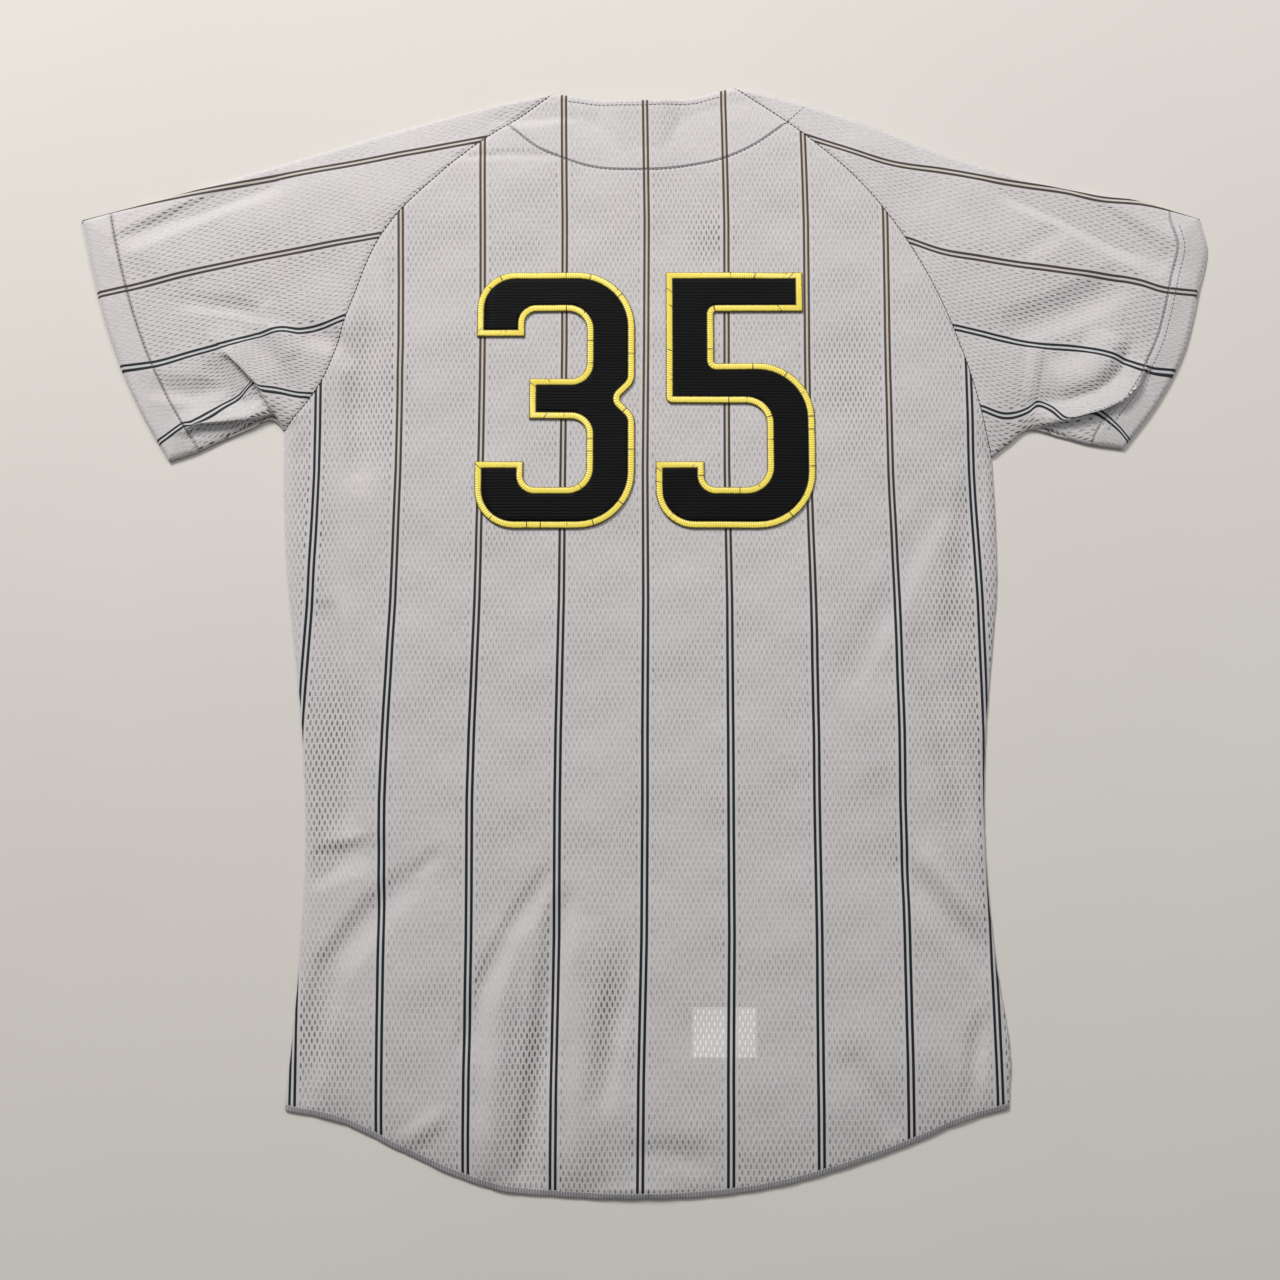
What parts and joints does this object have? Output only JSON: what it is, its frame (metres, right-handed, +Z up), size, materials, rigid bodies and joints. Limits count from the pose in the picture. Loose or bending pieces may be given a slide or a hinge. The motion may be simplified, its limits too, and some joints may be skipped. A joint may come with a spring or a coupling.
{
  "type": "baseball jersey",
  "caption": "Short-sleeved raglan baseball jersey in pinstriped mesh, laid flat face down, with plain block numerals on the back.",
  "frame": {"origin": "middle of the garment's bounding box in plan, on the surface that it lies on", "axes": "+X towards the sleeve on the right as seen from above, +Y towards the collar, +Z up, away from the surface"},
  "size_m": [0.8847, 0.8471, 0.0113],
  "materials": {
    "mesh_cloth": "lavender-grey polyester athletic mesh with small oval holes and double pinstripes",
    "facing_cloth": "plain lavender-grey polyester knit",
    "black_twill": "black ribbed polyester twill",
    "yellow_thread": "yellow satin stitch in rayon thread",
    "label_cloth": "plain white woven label, blank",
    "grey_button": "moulded grey polyester button"
  },
  "bodies": {
    "root": {"back_panel": "mesh_cloth", "front_left": "mesh_cloth", "front_right": "mesh_cloth", "sleeve_left": "mesh_cloth", "sleeve_right": "mesh_cloth", "back_neck_facing": "facing_cloth", "tail_label": "label_cloth", "numeral_left_twill": "black_twill", "numeral_left_edging": "yellow_thread", "numeral_right_twill": "black_twill", "numeral_right_edging": "yellow_thread", "button_1": "grey_button", "button_2": "grey_button", "button_3": "grey_button", "button_4": "grey_button", "button_5": "grey_button", "button_6": "grey_button"}
  },
  "joints": []
}
